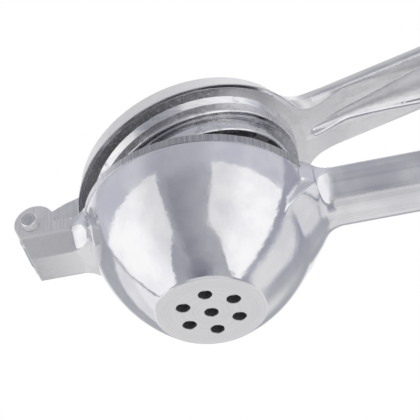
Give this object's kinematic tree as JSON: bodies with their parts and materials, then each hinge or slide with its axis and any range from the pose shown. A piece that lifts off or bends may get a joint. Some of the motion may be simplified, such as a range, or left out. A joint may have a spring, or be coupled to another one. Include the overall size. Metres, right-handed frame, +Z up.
{
  "type": "hinged lemon squeezer",
  "caption": "Cast two-jaw citrus squeezer: a perforated bowl and a stepped plunger on long handles, hinged on one pin at the end.",
  "frame": {"origin": "centre of the bowl's flat base, on its underside", "axes": "+Z up along the bowl's axis, +X along the lower handle towards its free end, Y along the hinge pin"},
  "size_m": [0.214, 0.0756, 0.1015],
  "materials": {
    "cast_aluminium": "polished",
    "pin_steel": "satin"
  },
  "bodies": {
    "lower": {"lower_jaw": "cast_aluminium", "hinge_pin": "pin_steel"},
    "upper": {"upper_jaw": "cast_aluminium"}
  },
  "joints": [
    {"name": "jaw_hinge", "type": "hinge", "parent": "lower", "child": "upper", "pos_m": [-0.0508, 0, 0.036], "axis": [0, -1, 0], "range_deg": [-16, 84]}
  ]
}
